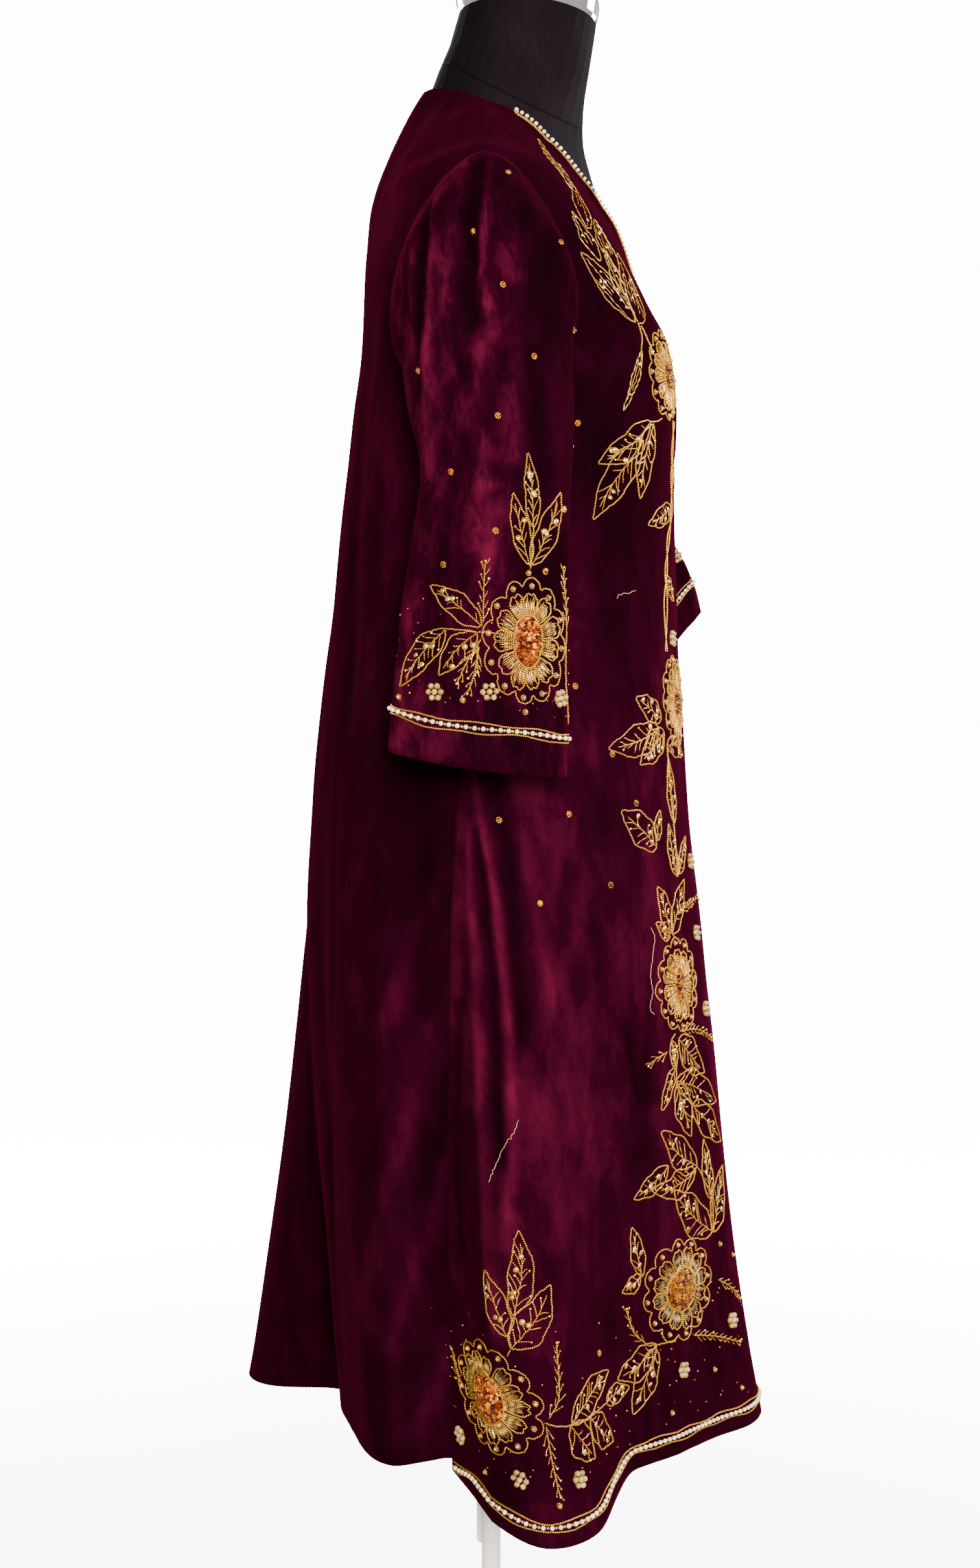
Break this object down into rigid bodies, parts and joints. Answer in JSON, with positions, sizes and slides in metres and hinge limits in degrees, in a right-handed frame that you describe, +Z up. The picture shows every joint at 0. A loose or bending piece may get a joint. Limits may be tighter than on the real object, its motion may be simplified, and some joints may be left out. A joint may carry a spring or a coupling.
{
  "type": "velvet kaftan on a dress form",
  "caption": "Long wine velvet kaftan with a V neck, three-quarter sleeves and gold bead embroidery, filled out by a limbless dress form on a round base.",
  "frame": {"origin": "centre of the underside of the round base, on the floor", "axes": "+Z up along the pole, the garment's front faces -Y, the wearer's right is -X"},
  "size_m": [0.5623, 0.4462, 1.4995],
  "materials": {
    "velvet": "crushed wine velvet with a soft nap",
    "gold_work": "gold cord, pearls, sequins and amber stones on velvet",
    "black_cover": "matt black stretch cover",
    "polished_cap": "polished",
    "white_stand": "satin white paint"
  },
  "bodies": {
    "root": {"front": "velvet", "back": "velvet", "hem_band": "gold_work", "sleeve_right": "velvet", "neck_band_right": "gold_work", "cuff_band_right": "gold_work", "vine_flower_1_right": "gold_work", "vine_flower_2_right": "gold_work", "vine_flower_3_right": "gold_work", "vine_flower_4_right": "gold_work", "hem_flower_right": "gold_work", "cuff_flower_right": "gold_work", "sleeve_left": "velvet", "neck_band_left": "gold_work", "cuff_band_left": "gold_work", "vine_flower_1_left": "gold_work", "vine_flower_2_left": "gold_work", "vine_flower_3_left": "gold_work", "vine_flower_4_left": "gold_work", "hem_flower_left": "gold_work", "cuff_flower_left": "gold_work", "form": "black_cover", "neck_cap": "polished_cap", "flange": "white_stand", "pole": "white_stand", "pole_tab": "white_stand", "base": "white_stand"}
  },
  "joints": []
}
